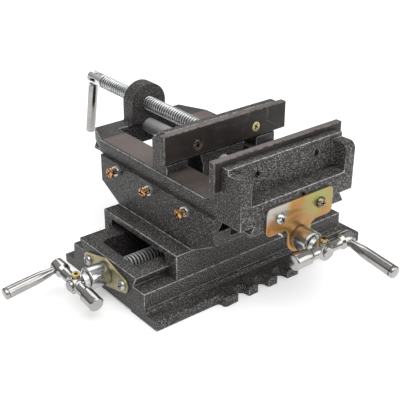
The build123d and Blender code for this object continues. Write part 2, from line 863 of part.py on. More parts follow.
upper_crank_handle = crank_handle(upper_end, upper_bearing_length, 1)
upper_crank_handle.label = "upper_crank_handle"
export_step(upper_crank_handle, "parts/upper_crank_handle.step")

upper_crank_setscrew = set_screw(upper_end, upper_bearing_length)
upper_crank_setscrew.label = "upper_crank_setscrew"
export_step(upper_crank_setscrew, "parts/upper_crank_setscrew.step")

# Vise body: rails with a male dovetail, fixed jaw with a pocket, rear cross end with the screw boss
body_length = body_rear - body_front
blunt_top = upper_dovetail_bottom + upper_dovetail_blunt
with BuildPart() as vise_body:
    with BuildSketch(Plane.XY.offset(body_bottom)):
        with BuildLine():
            Polyline(
                (0, body_front),
                (body_width / 2, body_front),
                (body_width / 2, body_rear - rear_chamfer_length),
                (body_width / 2 - rear_chamfer_width, body_rear),
                (0, body_rear),
            )
            mirror(about=Plane.YZ)
        make_face()
    extrude(amount=rail_height)
    with BuildSketch(Plane.XZ.offset(-body_rear)):
        with BuildLine():
            Polyline(
                (0, body_bottom),
                (upper_half(body_bottom), body_bottom),
                (upper_half(blunt_top), blunt_top),
                (upper_half(blunt_top), upper_dovetail_bottom),
                (0, upper_dovetail_bottom),
            )
            mirror(about=Plane.YZ)
        make_face()
    extrude(amount=body_length)
    with BuildSketch(Plane.YZ):
        with BuildLine():
            Polyline(
                (body_front, body_bottom),
                (body_front, pocket_floor),
                (jaw_wall_front, pocket_floor),
                (jaw_wall_front, jaw_wall_top),
                (jaw_wall_back, jaw_wall_top),
                (jaw_wall_back, plate_ledge),
                (rail_gap_front, plate_ledge),
                (rail_gap_front, body_bottom),
                close=True,
            )
        make_face()
    extrude(amount=body_width / 2, both=True)
    arm_planes = [Plane.YZ.offset(-body_width / 2), Plane.YZ.offset(body_width / 2 - arm_thickness)]
    with BuildSketch(*arm_planes):
        with BuildLine():
            Polyline(
                (jaw_wall_front, pocket_floor),
                (body_front, pocket_floor),
                (body_front, arm_top - arm_corner),
            )
            RadiusArc((body_front, arm_top - arm_corner), (body_front + arm_corner, arm_top), arm_corner)
            Polyline(
                (body_front + arm_corner, arm_top),
                (jaw_wall_front, arm_top),
                (jaw_wall_front, pocket_floor),
            )
        make_face()
    extrude(amount=arm_thickness)
    pocket_corners = vise_body.edges().filter_by(Axis.Z).filter_by(
        lambda edge: abs(edge.center().Y - jaw_wall_front) < 0.01
        and abs(abs(edge.center().X) - body_width / 2 + arm_thickness) < 0.01
    )
    fillet(pocket_corners, pocket_fillet)
    with BuildSketch(Plane.XZ.offset(-boss_rear)):
        with Locations((0, main_axis)):
            Circle(boss_radius)
            Rectangle(2 * boss_radius, main_axis - body_bottom, align=(Align.CENTER, Align.MAX))
    extrude(amount=boss_rear - boss_front)
    boss_foot = vise_body.edges().filter_by(Axis.Y).filter_by(
        lambda edge: abs(edge.center().Z - rail_top) < 0.01
        and abs(abs(edge.center().X) - boss_radius) < 0.01
    )
    fillet(boss_foot, boss_fillet)
    with BuildSketch(Plane.XY.offset(upper_dovetail_bottom)):
        with Locations((0, (rail_gap_front + rail_gap_rear) / 2)):
            Rectangle(rail_gap, rail_gap_rear - rail_gap_front)
    extrude(amount=rail_top - upper_dovetail_bottom, mode=Mode.SUBTRACT)
    with BuildSketch(Plane.XY.offset(rail_top)):
        with Locations((0, rail_gap_front)):
            Rectangle(body_width, rail_relief_length, align=(Align.CENTER, Align.MIN))
    extrude(amount=-rail_relief_depth, mode=Mode.SUBTRACT)
    with BuildSketch(Plane.XZ.offset(-boss_rear)):
        with Locations((0, main_axis)):
            Circle(screw_radius + thread_gap)
    extrude(amount=boss_rear - boss_front, mode=Mode.SUBTRACT)
    with BuildSketch(Plane.XZ.offset(guide_rear_inset - body_rear)):
        with Locations((0, guide_axis)):
            Circle(guide_radius + shaft_gap)
    extrude(amount=body_length, mode=Mode.SUBTRACT)
    with Locations(*[plane.offset(-bearing_flange_thickness) for plane in tee_screw_planes]):
        Hole(flange_screw_radius + thread_gap, flange_hole_depth)
    with Locations(*[plane.offset(-plate_thickness) for plane in fixed_plate_screw_planes]):
        Hole(plate_screw_radius + thread_gap, jaw_wall_back - jaw_wall_front)
vise_body.part.label = "vise_body"
export_step(vise_body.part, "parts/vise_body.step")

# Jaw plates, each held by two countersunk screws
with BuildPart() as fixed_jaw_plate:
    with BuildSketch(Plane.XZ.offset(-fixed_grip)):
        with Locations((0, plate_ledge)):
            Rectangle(plate_length, plate_height, align=(Align.CENTER, Align.MIN))
    extrude(amount=plate_thickness)
    chamfer(fixed_jaw_plate.edges(), plate_edge)
    with Locations(*fixed_plate_screw_planes):
        CounterSinkHole(plate_screw_radius + shaft_gap, plate_sink_radius)
fixed_jaw_plate.part.label = "fixed_jaw_plate"
export_step(fixed_jaw_plate.part, "parts/fixed_jaw_plate.step")

fixed_jaw_screws = countersunk_screws(
    [plane.offset(-plate_screw_sink) for plane in fixed_plate_screw_planes],
    plate_screw_head_radius,
    plate_screw_radius,
    plate_screw_length,
)
fixed_jaw_screws.label = "fixed_jaw_screws"
export_step(fixed_jaw_screws, "parts/fixed_jaw_screws.step")

with BuildPart() as movable_jaw_plate:
    with BuildSketch(Plane.XZ.offset(-jaw_seat)):
        with Locations((0, plate_ledge)):
            Rectangle(moving_plate_length, moving_plate_height, align=(Align.CENTER, Align.MIN))
    extrude(amount=plate_thickness)
    chamfer(movable_jaw_plate.edges(), plate_edge)
    with Locations(*moving_plate_screw_planes):
        CounterSinkHole(plate_screw_radius + shaft_gap, plate_sink_radius)
movable_jaw_plate.part.label = "movable_jaw_plate"
export_step(movable_jaw_plate.part, "parts/movable_jaw_plate.step")

movable_jaw_screws = countersunk_screws(
    [plane.offset(-plate_screw_sink) for plane in moving_plate_screw_planes],
    plate_screw_head_radius,
    plate_screw_radius,
    plate_screw_length,
)
movable_jaw_screws.label = "movable_jaw_screws"
export_step(movable_jaw_screws, "parts/movable_jaw_screws.step")

# Movable jaw: wide casting on the rails, with a block that runs between them on the guide bar
jaw_bottom = rail_top + slide_gap
jaw_top = plate_ledge + moving_plate_height
jaw_block_bottom = upper_dovetail_bottom
with BuildPart() as movable_jaw:
    with BuildSketch(Plane.YZ):
        with BuildLine():
            Polyline(
                (jaw_seat - jaw_foot_step, jaw_bottom),
                (jaw_seat - jaw_foot_step, jaw_slot_bottom),
                (jaw_seat + jaw_slot_depth, jaw_slot_bottom),
                (jaw_seat + jaw_slot_depth, plate_ledge),
                (jaw_seat, plate_ledge),
                (jaw_seat, jaw_top),
                (jaw_seat + jaw_top_depth, jaw_top),
                (jaw_back, jaw_top - jaw_slope_drop),
                (jaw_back, jaw_bottom),
                close=True,
            )
        make_face()
    extrude(amount=jaw_width / 2, both=True)
    with BuildSketch(Plane.XZ.offset(-jaw_back)):
        for side in (-1, 1):
            with BuildLine():
                Polyline(
                    (side * jaw_block_width / 2, jaw_bottom),
                    (side * jaw_block_top_width / 2, plate_ledge),
                    (side * jaw_block_top_width / 2, jaw_arch_top),
                    (side * jaw_foot_inner, jaw_arch_top),
                    (side * jaw_foot_inner, jaw_bottom),
                    close=True,
                )
            make_face()
    extrude(amount=jaw_back - jaw_seat + jaw_foot_step, mode=Mode.SUBTRACT)
    with BuildSketch(Plane.XY.offset(jaw_block_bottom)):
        with Locations((0, jaw_seat - jaw_foot_step)):
            Rectangle(
                jaw_block_width,
                jaw_back + jaw_block_tail - jaw_seat + jaw_foot_step,
                align=(Align.CENTER, Align.MIN),
            )
    extrude(amount=jaw_block_tail_top - jaw_block_bottom)
    with BuildSketch(Plane.XZ.offset(-jaw_back)):
        with Locations((0, main_axis)):
            Circle(screw_radius + shaft_gap)
    extrude(amount=main_screw_seat + thrust_gap, mode=Mode.SUBTRACT)
    with BuildSketch(Plane.XZ.offset(-jaw_back - jaw_block_tail)):
        with Locations((0, guide_axis)):
            Circle(guide_radius + shaft_gap)
    extrude(amount=jaw_depth + jaw_foot_step + jaw_block_tail, mode=Mode.SUBTRACT)
    with Locations(*[plane.offset(-plate_thickness) for plane in moving_plate_screw_planes]):
        Hole(plate_screw_radius + thread_gap, plate_screw_length)
    with Locations(*[plane.offset(-retainer_thickness) for plane in retainer_screw_planes]):
        Hole(retainer_screw_radius + thread_gap, retainer_screw_length)
    keeper_bolt_centre = (jaw_seat + jaw_back + jaw_block_tail) / 2
    with Locations(Plane(origin=(0, keeper_bolt_centre, jaw_block_bottom), z_dir=(0, 0, -1))):
        with GridLocations(0, keeper_bolt_spacing, 1, 2):
            Hole(keeper_bolt_radius + thread_gap, keeper_bolt_length - keeper_thickness + shaft_gap)
movable_jaw.part.label = "movable_jaw"
export_step(movable_jaw.part, "parts/movable_jaw.step")

# Keeper plate, bolted under the block so that the jaw can't lift off the rails
keeper_top = upper_dovetail_bottom - slide_gap
keeper_length = jaw_back + jaw_block_tail - jaw_seat
with BuildPart() as jaw_keeper_plate:
    with BuildSketch(Plane.XY.offset(keeper_top)):
        with Locations((0, keeper_bolt_centre)):
            RectangleRounded(keeper_width, keeper_length, edge_round)
    extrude(amount=-keeper_thickness)
    with Locations(Plane(origin=(0, keeper_bolt_centre, keeper_top - keeper_thickness), z_dir=(0, 0, -1))):
        with GridLocations(0, keeper_bolt_spacing, 1, 2):
            CounterSinkHole(keeper_bolt_radius + shaft_gap, keeper_bolt_head_radius + shaft_gap)
jaw_keeper_plate.part.label = "jaw_keeper_plate"
export_step(jaw_keeper_plate.part, "parts/jaw_keeper_plate.step")

keeper_bolts = countersunk_screws(
    facing(
        (0, 0, -1),
        [
            (0, keeper_bolt_centre + side * keeper_bolt_spacing / 2, keeper_top - keeper_thickness)
            for side in (-1, 1)
        ],
    ),
    keeper_bolt_head_radius,
    keeper_bolt_radius,
    keeper_bolt_length,
)
keeper_bolts.label = "keeper_bolts"
export_step(keeper_bolts, "parts/keeper_bolts.step")

# Guide bar from the foot of the fixed jaw to the rear cross end
with BuildPart() as guide_bar:
    with BuildSketch(Plane.XZ.offset(guide_rear_inset + shaft_gap - body_rear)):
        with Locations((0, guide_axis)):
            Circle(guide_radius)
    extrude(amount=body_length - guide_rear_inset - shaft_gap - guide_front_inset)
guide_bar.part.label = "guide_bar"
export_step(guide_bar.part, "parts/guide_bar.step")

# Main screw: seat in the jaw, neck, threaded body, and a forked end for the handle
neck_front = jaw_back + shaft_gap
neck_rear = jaw_back + retainer_thickness + thrust_gap
with BuildPart() as main_screw:
    with BuildSketch(Plane.YZ):
        with BuildLine():
            Polyline(
                (jaw_back - main_screw_seat, main_axis),
                (jaw_back - main_screw_seat, main_axis + screw_radius),
                (jaw_back - thrust_gap, main_axis + screw_radius),
                (jaw_back - thrust_gap, main_axis + neck_radius),
                (neck_rear, main_axis + neck_radius),
                (neck_rear, main_axis + screw_radius),
                (main_screw_rear - main_screw_edge, main_axis + screw_radius),
                (main_screw_rear, main_axis + screw_radius - main_screw_edge),
                (main_screw_rear, main_axis),
                close=True,
            )
        make_face()
    revolve(axis=Axis((0, 0, main_axis), (0, 1, 0)))
    with BuildSketch(Plane.YZ):
        with Locations((main_screw_rear - fork_depth, main_axis)):
            Rectangle(2 * fork_depth, 4 * screw_radius, align=(Align.MIN, Align.CENTER))
    extrude(amount=fork_width / 2, both=True, mode=Mode.SUBTRACT)
    with BuildSketch(Plane.YZ):
        with Locations((pin_position - pin_slot_run / 2, main_axis)):
            SlotCenterToCenter(pin_slot_run, 2 * (pin_radius + shaft_gap))
    extrude(amount=2 * screw_radius, both=True, mode=Mode.SUBTRACT)
main_screw.part.label = "main_screw"
export_step(main_screw.part, "parts/main_screw.step")

# Retainer: slotted plate that holds the screw's neck to the jaw
with BuildPart() as screw_retainer:
    with BuildSketch(Plane.XZ.offset(-jaw_back)):
        with Locations((0, main_axis)):
            RectangleRounded(retainer_width, retainer_height, retainer_corner)
            Circle(neck_radius + shaft_gap, mode=Mode.SUBTRACT)
            Rectangle(
                2 * (neck_radius + shaft_gap),
                retainer_height,
                align=(Align.CENTER, Align.MAX),
                mode=Mode.SUBTRACT,
            )
        with Locations((0, main_axis + retainer_screw_rise)):
            with GridLocations(retainer_screw_spacing, 0, 2, 1):
                Circle(retainer_screw_radius + shaft_gap, mode=Mode.SUBTRACT)
    extrude(amount=-retainer_thickness)
screw_retainer.part.label = "screw_retainer"
export_step(screw_retainer.part, "parts/screw_retainer.step")

retainer_screws = pan_screws(
    retainer_screw_planes,
    retainer_screw_head_radius,
    retainer_screw_head_height,
    retainer_screw_radius,
    retainer_thickness + retainer_screw_length - shaft_gap,
)
retainer_screws.label = "retainer_screws"
export_step(retainer_screws, "parts/retainer_screws.step")

# Handle: flat tang on a cross pin, then a round bar that hangs from it
with BuildPart() as handle_pin:
    with BuildSketch(Plane.YZ):
        with Locations((pin_position, main_axis)):
            Circle(pin_radius)
    extrude(amount=pin_length / 2, both=True)
handle_pin.part.label = "handle_pin"
export_step(handle_pin.part, "parts/handle_pin.step")

handle_down = Plane(
    origin=(0, pin_position, main_axis),
    x_dir=(1, 0, 0),
    z_dir=(0, sin(radians(handle_tilt)), -cos(radians(handle_tilt))),
)
with BuildPart() as handle_bar:
    with BuildSketch(Plane(handle_down.origin, x_dir=handle_down.z_dir, z_dir=(1, 0, 0))):
        Circle(tang_radius)
        Rectangle(handle_neck_start, 2 * tang_radius, align=(Align.MIN, Align.CENTER))
        Circle(pin_radius + shaft_gap, mode=Mode.SUBTRACT)
    extrude(amount=fork_width / 2 - tang_gap, both=True)
    with BuildSketch(handle_down.offset(handle_neck_start)):
        Circle(handle_neck_radius)
    extrude(amount=handle_bar_start - handle_neck_start)
    with BuildSketch(handle_down.offset(handle_bar_start)):
        Circle(handle_bar_radius)
    extrude(amount=handle_length - handle_bar_start)
    round_edges = handle_bar.edges().filter_by(GeomType.CIRCLE)
    chamfer(round_edges.sort_by(Axis(handle_down.origin, handle_down.z_dir))[-1], handle_edge)
handle_bar.part.label = "handle_bar"
export_step(handle_bar.part, "parts/handle_bar.step")
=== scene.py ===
import json
from math import ceil, cos, pi, radians, sin

import bmesh
import bpy
from mathutils import Matrix, Vector

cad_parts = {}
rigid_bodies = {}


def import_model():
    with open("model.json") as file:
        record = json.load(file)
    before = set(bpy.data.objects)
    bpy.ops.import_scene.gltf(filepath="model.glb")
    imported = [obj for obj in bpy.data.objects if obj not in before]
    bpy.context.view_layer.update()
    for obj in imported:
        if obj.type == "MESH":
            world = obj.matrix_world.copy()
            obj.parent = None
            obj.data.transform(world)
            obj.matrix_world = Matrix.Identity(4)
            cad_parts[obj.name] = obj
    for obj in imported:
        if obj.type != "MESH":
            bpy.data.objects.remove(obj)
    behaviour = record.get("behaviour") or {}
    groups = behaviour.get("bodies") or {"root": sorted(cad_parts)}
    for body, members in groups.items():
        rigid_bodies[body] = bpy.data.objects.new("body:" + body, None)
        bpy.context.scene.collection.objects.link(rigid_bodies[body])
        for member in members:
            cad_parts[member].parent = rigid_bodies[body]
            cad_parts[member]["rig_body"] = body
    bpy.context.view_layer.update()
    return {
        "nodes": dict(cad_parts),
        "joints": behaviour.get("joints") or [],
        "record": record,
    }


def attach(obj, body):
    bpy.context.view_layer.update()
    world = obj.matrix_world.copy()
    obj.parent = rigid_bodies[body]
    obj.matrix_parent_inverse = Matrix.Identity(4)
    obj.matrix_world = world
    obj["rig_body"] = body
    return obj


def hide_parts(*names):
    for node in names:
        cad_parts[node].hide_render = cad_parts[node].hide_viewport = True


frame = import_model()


# Sizes in metres, places in the frame's own axes, and angles in radians; mm turns a drawing size into metres

mm = 0.001
joint_height = {joint["name"]: joint["pos_m"][2] for joint in frame["joints"] if "pos_m" in joint}
lower_screw_height = joint_height["lower_screw_spin"]
upper_screw_height = joint_height["upper_screw_spin"]
main_screw_height = joint_height["main_screw_spin"]
screw_pitch = 3.0 * mm
screw_radius = 6.0 * mm
screw_core = 4.5 * mm
lower_thread = (-121.4 * mm, 85.0 * mm)
upper_thread = (-116.0 * mm, 85.0 * mm)
main_thread = (7.2 * mm, 154.5 * mm)
main_tail = 154.0 * mm
fastener_radius = 2.5 * mm
tee_front = -101.6 * mm
rails_front = -61.5 * mm
rails_rear = 75.5 * mm
rails_half_width = 53.5 * mm
rails_low = 92.0 * mm
rails_high = 94.0 * mm
crank_reach = 23.3 * mm
upper_seat_along = -125.6 * mm
lower_seat_along = -131.0 * mm
crank_droop = radians(7.0)
lower_crank_tilt = radians(7.7)

# Distances, in metres, below which points are merged or count as lying on a plane

fine_weld = 1e-7
weld = 1e-6
coarse_weld = 2e-6


# Camera, at the photograph's viewing angle

camera_data = bpy.data.cameras.new("camera")
camera_data.sensor_width = 36.0
camera_data.lens = 76.6
camera = bpy.data.objects.new("camera", camera_data)
camera.location = (-0.3957, -0.4800, 0.3665)
camera.rotation_euler = (radians(63.01), 0.0, radians(-38.66))
bpy.context.scene.collection.objects.link(camera)
bpy.context.scene.camera = camera


# Material helpers

def set_stops(colour_ramp, stops):
    """Gives a colour ramp its (position, grey or colour) stops."""
    while len(colour_ramp.elements) < len(stops):
        colour_ramp.elements.new(0.5)
    for element, (position, colour) in zip(colour_ramp.elements, stops):
        shade = colour if isinstance(colour, tuple) else (colour, colour, colour)
        element.position = position
        element.color = (*shade, 1.0)


class Tree:
    """A material's node tree with short calls for the nodes that the finishes share."""

    def __init__(self, name):
        self.material = bpy.data.materials.new(name)
        self.material.use_nodes = True
        self.nodes = self.material.node_tree.nodes
        self.links = self.material.node_tree.links
        self.shader = self.nodes["Principled BSDF"]
        self.coords = self.nodes.new("ShaderNodeTexCoord").outputs["Object"]
        self.normal = self.nodes.new("ShaderNodeNewGeometry").outputs["True Normal"]

    def put(self, socket, value):
        """Links a node's output to the socket, or sets a plain value on it."""
        if isinstance(value, bpy.types.NodeSocket):
            self.links.new(value, socket)
        else:
            socket.default_value = value

    def set(self, **values):
        """Sets or links inputs of the main shader; an underscore in a name stands for a space."""
        for name, value in values.items():
            self.put(self.shader.inputs[name.replace("_", " ")], value)

    def math(self, operation, first, second=0.0, clamp=False):
        """The result of one arithmetic step; a clamped one stays between 0 and 1."""
        node = self.nodes.new("ShaderNodeMath")
        node.operation = operation
        node.use_clamp = clamp
        self.put(node.inputs[0], first)
        self.put(node.inputs[1], second)
        return node.outputs[0]

    def times(self, first, second):
        """The product of two values."""
        return self.math("MULTIPLY", first, second)

    def most(self, first, second):
        """The larger of two values."""
        return self.math("MAXIMUM", first, second)

    def blend(self, first, second, share):
        """A share of the first value, and the rest of the second."""
        return self.math("ADD", self.times(first, share), self.times(second, 1.0 - share))

    def stretched(self, scale):
        """The object coordinates, multiplied by a scale for each axis."""
        node = self.nodes.new("ShaderNodeMapping")
        self.links.new(self.coords, node.inputs["Vector"])
        node.inputs["Scale"].default_value = scale
        return node.outputs["Vector"]

    def noise(self, scale, detail=3.0, roughness=0.55, coords=None):
        """Cloudy noise, mostly between 0.3 and 0.7, with a scale in waves for each metre."""
        node = self.nodes.new("ShaderNodeTexNoise")
        self.links.new(coords or self.coords, node.inputs["Vector"])
        node.inputs["Scale"].default_value = scale
        node.inputs["Detail"].default_value = detail
        node.inputs["Roughness"].default_value = roughness
        return node.outputs["Fac"]

    def ramp(self, factor, *stops):
        """A colour ramp through (position, grey or colour) stops."""
        node = self.nodes.new("ShaderNodeValToRGB")
        self.links.new(factor, node.inputs["Fac"])
        set_stops(node.color_ramp, stops)
        return node.outputs["Color"]

    def mix(self, factor, first, second):
        """The first colour where the factor is 0, and the second where it is 1."""
        node = self.nodes.new("ShaderNodeMix")
        node.data_type = "RGBA"
        self.put(node.inputs["Factor"], factor)
        sockets = [socket for socket in node.inputs if socket.type == "RGBA"]
        for socket, colour in zip(sockets, (first, second)):
            self.put(socket, (*colour, 1.0) if isinstance(colour, tuple) else colour)
        return [output for output in node.outputs if output.type == "RGBA"][0]

    def part(self, vector, channel):
        """One coordinate of a vector."""
        split = self.nodes.new("ShaderNodeSeparateXYZ")
        self.links.new(vector, split.inputs[0])
        return split.outputs[channel]

    def span(self, channel, low, high):
        """1 where an object coordinate lies between two values, with soft edges."""
        softness = 0.2 * mm
        value = self.part(self.coords, channel)
        rising = self.math("DIVIDE", self.math("SUBTRACT", value, low), softness, clamp=True)
        falling = self.math("DIVIDE", self.math("SUBTRACT", high, value), softness, clamp=True)
        return self.times(rising, falling)

    def facing(self, channel, sharpness):
        """How squarely the surface looks along one axis, either way."""
        return self.math("POWER", self.math("ABSOLUTE", self.part(self.normal, channel)), sharpness)

    def near(self, point, reach):
        """1 at a point, falling to 0 at a distance, with an uneven border."""
        unevenness = 0.9
        node = self.nodes.new("ShaderNodeVectorMath")
        node.operation = "DISTANCE"
        self.links.new(self.coords, node.inputs[0])
        node.inputs[1].default_value = point
        away = self.math("DIVIDE", node.outputs["Value"], reach)
        uneven = self.times(self.math("SUBTRACT", self.noise(90.0), 0.5), unevenness)
        return self.math("SUBTRACT", 1.0, self.math("ADD", away, uneven), clamp=True)

    def mark(self, name):
        """A value that the piece's own mesh carries at its points."""
        node = self.nodes.new("ShaderNodeAttribute")
        node.attribute_name = name
        return node.outputs["Fac"]

    def crevice(self, distance):
        """1 in deep corners, falling to 0 on open faces."""
        node = self.nodes.new("ShaderNodeAmbientOcclusion")
        node.samples = 4
        node.inputs["Distance"].default_value = distance
        return self.math("SUBTRACT", 1.0, node.outputs["AO"], clamp=True)

    def bump(self, *layers):
        """Bump from (height, strength, distance) layers, each on top of the one before."""
        normal = None
        for height, strength, distance in layers:
            node = self.nodes.new("ShaderNodeBump")
            node.inputs["Strength"].default_value = strength
            node.inputs["Distance"].default_value = distance
            self.links.new(height, node.inputs["Height"])
            if normal:
                self.links.new(normal, node.inputs["Normal"])
            normal = node.outputs["Normal"]
        self.set(Normal=normal)


# Finishes; a ramp's stops are (position, value or colour), and colours are linear red, green and blue

def enamel(tree):
    """Speckled dark enamel: its colour, with painted shade in corners and hollows and worn ridges that also
    carry a painted highlight, and its grain.
    """
    dust = (0.034, 0.031, 0.030)
    # Near-black for the painted shade in corners and hollows
    shade_black = (0.005, 0.0045, 0.0045)
    bare_and_lit_edge = (0.60, 0.58, 0.57)
    grain = tree.noise(980.0, 2.0, 0.65)
    fine = tree.noise(1900.0, 1.0)
    cloud = tree.noise(20.0)
    paint = tree.ramp(
        tree.blend(grain, fine, 0.78),
        (0.43, (0.0080, 0.0066, 0.0062)),
        (0.49, (0.023, 0.0208, 0.0200)),
        (0.55, (0.072, 0.068, 0.066)),
        (0.62, (0.245, 0.236, 0.231)),
    )
    paint = tree.mix(tree.ramp(cloud, (0.35, 0.0), (0.7, 0.2)), paint, dust)
    # Rounded ridges: paler both as bare, worn paint and as a painted highlight along the edge.
    patchy = tree.ramp(tree.noise(380.0), (0.40, 0.25), (0.54, 1.0))
    ridge_wear_and_light = tree.times(tree.mark("ridge_wear_and_light"), patchy)
    # Painted shade: the paint darkens in corners and deep hollows, where shade falls.
    corners = tree.ramp(tree.crevice(3.5 * mm), (0.30, 0.0), (0.90, 1.0))
    depths = tree.ramp(tree.crevice(30.0 * mm), (0.70, 0.0), (0.96, 1.0))
    painted_shade = tree.most(tree.times(corners, 0.6), tree.times(depths, 0.85))
    paint = tree.mix(painted_shade, paint, shade_black)
    paint = tree.mix(tree.times(ridge_wear_and_light, 0.8), paint, bare_and_lit_edge)
    return paint, grain


def rail_tops(tree):
    """1 on the machined part of the rails on the vise body."""
    along = tree.span("Y", rails_front, rails_rear)
    across = tree.span("X", -rails_half_width, rails_half_width)
    height = tree.span("Z", rails_low, rails_high)
    area = tree.times(tree.times(along, across), height)
    return tree.times(area, tree.facing("Z", 8.0))


def rail_iron(tree):
    """The colour of the machined rails, with painted light making them paler behind the middle of the vise
    and painted shadow of the jaw darkening the front.
    """
    lit_rear_iron = (0.215, 0.175, 0.165)
    scratch = (0.055, 0.044, 0.040)
    glint = (0.16, 0.13, 0.12)
    fade = 60.0 * mm
    grind = tree.noise(1.0, 4.0, coords=tree.stretched((3800.0, 240.0, 240.0)))
    stain = tree.ramp(tree.noise(38.0, 4.0), (0.35, 0.0), (0.7, 1.0))
    iron = tree.mix(stain, (0.066, 0.052, 0.048), (0.104, 0.085, 0.078))
    # Painted light: paler towards the rear, and darker towards the jaw at the front as painted shadow.
    rear_light = tree.math("ADD", tree.part(tree.coords, "Y"), fade / 2)
    rear_light = tree.math("DIVIDE", rear_light, fade, clamp=True)
    iron = tree.mix(tree.times(rear_light, 0.75), iron, lit_rear_iron)
    iron = tree.mix(tree.ramp(grind, (0.35, 0.0), (0.65, 0.35)), iron, scratch)
    specks = tree.ramp(tree.noise(900.0, 2.0), (0.60, 0.0), (0.68, 0.6))
    return tree.mix(specks, iron, glint)


def painted(name, bare_zone=None):
    """Enamelled cast iron, with ground iron where a zone says so."""
    tree = Tree(name)
    paint, grain = enamel(tree)
    roughness = tree.ramp(grain, (0.3, 0.40), (0.7, 0.56))
    metal = 0.0
    if bare_zone:
        bare = bare_zone(tree)
        paint = tree.mix(bare, paint, rail_iron(tree))
        roughness = tree.mix(bare, roughness, (0.55, 0.55, 0.55))
        metal = tree.times(bare, 0.2)
    tree.set(Base_Color=paint, Roughness=roughness, Metallic=metal, Specular_IOR_Level=0.32)
    tree.bump((grain, 0.45, 0.28 * mm))
    return tree.material


def ground_iron(name):
    """Ground, oiled iron with fine lengthwise lines."""
    tree = Tree(name)
    lines = tree.noise(1.0, 4.0, coords=tree.stretched((300.0, 3600.0, 3600.0)))
    stain = tree.ramp(tree.noise(60.0, 4.0), (0.3, 0.0), (0.7, 1.0))
    colour = tree.mix(stain, (0.08, 0.070, 0.066), (0.16, 0.145, 0.135))
    tree.set(Base_Color=colour, Roughness=tree.ramp(lines, (0.3, 0.35), (0.7, 0.55)), Metallic=0.6)
    tree.bump((lines, 0.2, 0.05 * mm))
    return tree.material


def jaw_plate(name):
    """Dark oiled gripping faces with scratches, pinkish ground tops and speckled ends."""
    rust_brown = (0.046, 0.031, 0.024)
    scratch_pale = (0.20, 0.155, 0.125)
    top_glint = (0.26, 0.23, 0.22)
    bare_and_lit_edge = (0.34, 0.30, 0.28)
    tree = Tree(name)
    stain = tree.noise(30.0, 5.0, 0.6)
    rust = tree.noise(55.0, 4.0)
    scratch = tree.noise(1.0, 6.0, 0.7, coords=tree.stretched((50.0, 90.0, 520.0)))
    streaks = tree.ramp(scratch, (0.60, 0.0), (0.625, 1.0), (0.65, 0.2))
    chips = tree.ramp(tree.noise(700.0, 3.0, 0.6), (0.67, 0.0), (0.71, 1.0))
    curves = tree.ramp(tree.noise(24.0, 1.0, 0.3), (0.495, 0.0), (0.5, 0.75), (0.505, 0.0))
    curves = tree.times(curves, tree.ramp(tree.noise(520.0, 2.0), (0.46, 0.0), (0.56, 1.0)))
    marks = tree.most(tree.times(streaks, 0.5), tree.times(chips, 0.7))
    marks = tree.most(marks, curves)
    oil = tree.ramp(stain, (0.35, 0.0), (0.68, 1.0))
    face = tree.mix(oil, (0.0075, 0.0062, 0.0060), (0.026, 0.0200, 0.0180))
    face = tree.mix(tree.ramp(rust, (0.52, 0.0), (0.72, 0.5)), face, rust_brown)
    face = tree.mix(tree.times(marks, 0.55), face, scratch_pale)
    oil = tree.ramp(stain, (0.3, 0.0), (0.7, 1.0))
    top = tree.mix(oil, (0.085, 0.074, 0.071), (0.15, 0.132, 0.126))
    specks = tree.ramp(tree.noise(1100.0, 2.0), (0.54, 0.0), (0.66, 0.6))
    top = tree.mix(specks, top, top_glint)
    ends, grain = enamel(tree)
    colour = tree.mix(tree.facing("Z", 4.0), face, top)
    colour = tree.mix(tree.facing("X", 4.0), colour, ends)
    # Rounded ridges: paler both as bare, worn metal and as a painted highlight along the edge.
    patchy = tree.ramp(tree.noise(260.0), (0.40, 0.0), (0.60, 1.0))
    ridge_wear_and_light = tree.times(tree.mark("ridge_wear_and_light"), patchy)
    colour = tree.mix(tree.times(ridge_wear_and_light, 0.7), colour, bare_and_lit_edge)
    roughness = tree.ramp(scratch, (0.3, 0.42), (0.7, 0.60))
    tree.set(Base_Color=colour, Roughness=roughness, Metallic=0.1, Specular_IOR_Level=0.35)
    tree.bump((scratch, 0.15, 0.10 * mm), (grain, 0.15, 0.10 * mm))
    return tree.material


def clouded_zinc(name, colours, patches=(), low=0.27, high=0.42, metal=0.75):
    """Passivated zinc with clouds of colour and wide stained patches; low and high limit its roughness."""
    bright_edge = (0.66, 0.60, 0.46)
    shadow = (0.020, 0.014, 0.008)
    tree = Tree(name)
    cloud = tree.noise(30.0)
    fine = tree.noise(240.0, 4.0, 0.6)
    colour = tree.ramp(tree.blend(cloud, fine, 0.88), *colours)
    for point, reach, share, shade in patches:
        spread = tree.ramp(tree.near(point, reach), (0.0, 0.0), (0.55, share))
        colour = tree.mix(spread, colour, shade)
    # Rounded ridges: brighter both as worn plating and as a painted highlight along the edge.
    colour = tree.mix(tree.times(tree.mark("ridge_wear_and_light"), 0.8), colour, bright_edge)
    recess = tree.ramp(tree.crevice(2.0 * mm), (0.30, 0.0), (0.75, 0.95))
    colour = tree.mix(recess, colour, shadow)
    tree.set(Base_Color=colour, Roughness=tree.ramp(fine, (0.3, low), (0.7, high)), Metallic=metal)
    tree.bump((fine, 0.10, 0.06 * mm))
    return tree.material


